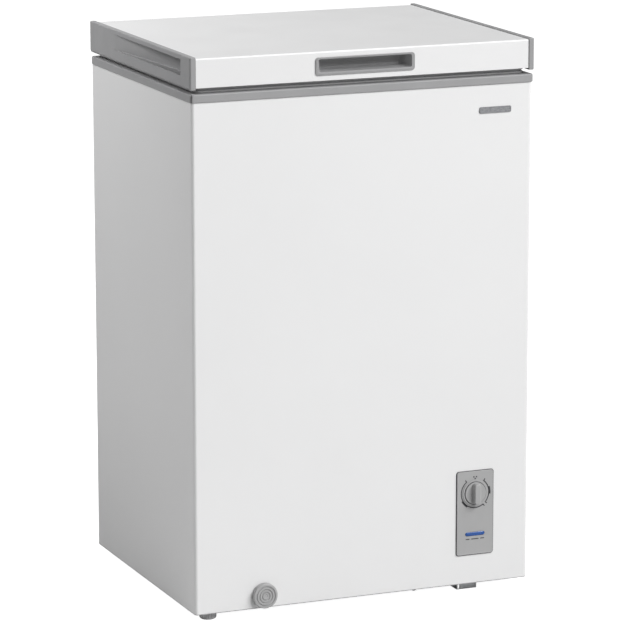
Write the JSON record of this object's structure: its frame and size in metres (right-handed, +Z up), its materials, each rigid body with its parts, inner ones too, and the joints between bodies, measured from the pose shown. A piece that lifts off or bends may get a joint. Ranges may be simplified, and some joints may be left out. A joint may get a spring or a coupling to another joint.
{
  "type": "chest freezer",
  "caption": "Small white top-opening chest freezer with a grey-trimmed hinged lid, front thermostat knob, drain and hanging wire basket.",
  "frame": {"origin": "on the floor, below the middle of the freezer's outer box", "axes": "+Z up, front facing -Y, hinges at +Y, +X to the right as seen from the front"},
  "size_m": [0.5494, 0.491, 0.85],
  "materials": {
    "white_steel": "semi-gloss white enamel with a slight orange peel",
    "rear_steel": "satin white enamel",
    "white_plastic": "smooth white liner plastic",
    "frame_grey": "fine-grained grey moulding",
    "panel_grey": "satin grey moulding",
    "dark_plastic": "black moulding",
    "gasket_grey": "matt soft grey seal",
    "blue_lens": "translucent blue",
    "foam": null,
    "zinc_steel": "zinc plated",
    "black_steel": "black stoved enamel",
    "copper": "drawn copper",
    "spring_steel": "oil-tempered wire",
    "rubber": "matt black",
    "foot_plastic": "grey ribbed moulding",
    "white_wire": "white dip-coated wire",
    "silver": "satin silver plate"
  },
  "bodies": {
    "cabinet": {"outer_shell": "white_steel", "rear_panel": "rear_steel", "base_pan": "zinc_steel", "compressor_base_plate": "zinc_steel", "bay_partition": "zinc_steel", "inner_liner": "white_plastic", "foam_body": "foam", "top_collar": "frame_grey", "foot_bracket_front": "zinc_steel", "foot_bracket_rear": "zinc_steel", "base_plate_screw": "black_steel", "control_panel": "panel_grey", "indicator_lens": "blue_lens", "thermostat_body": "dark_plastic", "badge_plate": "silver", "drain_pipe": "white_plastic", "compressor_shell": "black_steel", "compressor_foot_plate": "black_steel", "start_relay_cover": "dark_plastic", "condenser_coil": "copper", "filter_drier": "copper", "capillary_tube": "copper", "evaporator_coil": "copper", "suction_line": "copper", "compressor_cover": "zinc_steel", "cover_screw_upper": "zinc_steel", "cover_screw_lower": "zinc_steel", "cord_gland": "dark_plastic", "compressor_grommet_1": "rubber", "compressor_bolt_1": "zinc_steel", "compressor_grommet_2": "rubber", "compressor_bolt_2": "zinc_steel", "compressor_grommet_3": "rubber", "compressor_bolt_3": "zinc_steel", "compressor_grommet_4": "rubber", "compressor_bolt_4": "zinc_steel", "hinge_base_left": "frame_grey", "hinge_pin_left": "zinc_steel", "hinge_spring_left": "spring_steel", "hinge_base_right": "frame_grey", "hinge_pin_right": "zinc_steel", "hinge_spring_right": "spring_steel"},
    "lid": {"lid_outer_panel": "white_steel", "lid_handle": "frame_grey", "lid_foam": "foam", "lid_end_cap_left": "frame_grey", "lid_end_cap_right": "frame_grey", "lid_liner": "white_plastic", "lid_gasket": "gasket_grey", "hinge_arm_left": "zinc_steel", "hinge_arm_right": "zinc_steel"},
    "hinge_plunger_left": {"hinge_plunger_left": "zinc_steel"},
    "hinge_plunger_right": {"hinge_plunger_right": "zinc_steel"},
    "knob": {"thermostat_knob": "panel_grey"},
    "spout": {"drain_spout": "frame_grey"},
    "cap": {"drain_cap": "panel_grey"},
    "plug": {"drain_plug": "frame_grey"},
    "basket": {"wire_basket": "white_wire"},
    "foot_front": {"levelling_foot_front": "foot_plastic"},
    "foot_rear": {"levelling_foot_rear": "foot_plastic"}
  },
  "joints": [
    {"name": "lid_hinge", "type": "hinge", "parent": "cabinet", "child": "lid", "pos_m": [0, 0.2245, 0.806], "axis": [-1, 0, 0], "range_deg": [0, 80], "stiffness_Nm_per_rad": 3.2, "springref_deg": 98.55},
    {"name": "plunger_left_slide", "type": "slide", "parent": "cabinet", "child": "hinge_plunger_left", "axis": [0, 0, 1], "range_m": [0, 0.0126], "deforming": ["hinge_spring_left"]},
    {"name": "plunger_right_slide", "type": "slide", "parent": "cabinet", "child": "hinge_plunger_right", "axis": [0, 0, 1], "range_m": [0, 0.0126], "deforming": ["hinge_spring_right"]},
    {"name": "knob_turn", "type": "hinge", "parent": "cabinet", "child": "knob", "pos_m": [0.183, -0.2315, 0.157], "axis": [0, 1, 0], "range_deg": [0, 300]},
    {"name": "spout_pull", "type": "slide", "parent": "cabinet", "child": "spout", "axis": [0, -1, 0], "range_m": [0, 0.022]},
    {"name": "cap_turn", "type": "hinge", "parent": "spout", "child": "cap", "pos_m": [-0.1628, -0.2315, 0.0343], "axis": [0, 1, 0], "range_deg": [0, 180]},
    {"name": "plug_lift", "type": "slide", "parent": "cabinet", "child": "plug", "axis": [0, 0, 1], "range_m": [0, 0.03]},
    {"name": "basket_slide", "type": "slide", "parent": "cabinet", "child": "basket", "axis": [-1, 0, 0], "range_m": [0, 0.23]},
    {"name": "foot_front_turn", "type": "hinge", "parent": "cabinet", "child": "foot_front", "pos_m": [-0.2425, -0.2045, 0], "axis": [0, 0, 1], "continuous": true},
    {"name": "foot_rear_turn", "type": "hinge", "parent": "cabinet", "child": "foot_rear", "pos_m": [-0.2425, 0.1735, 0], "axis": [0, 0, 1], "continuous": true}
  ],
  "couplings": [
    {"joint": "plunger_left_slide", "follows": "lid_hinge", "m_per_rad": 0.009},
    {"joint": "plunger_right_slide", "follows": "lid_hinge", "m_per_rad": 0.009}
  ]
}
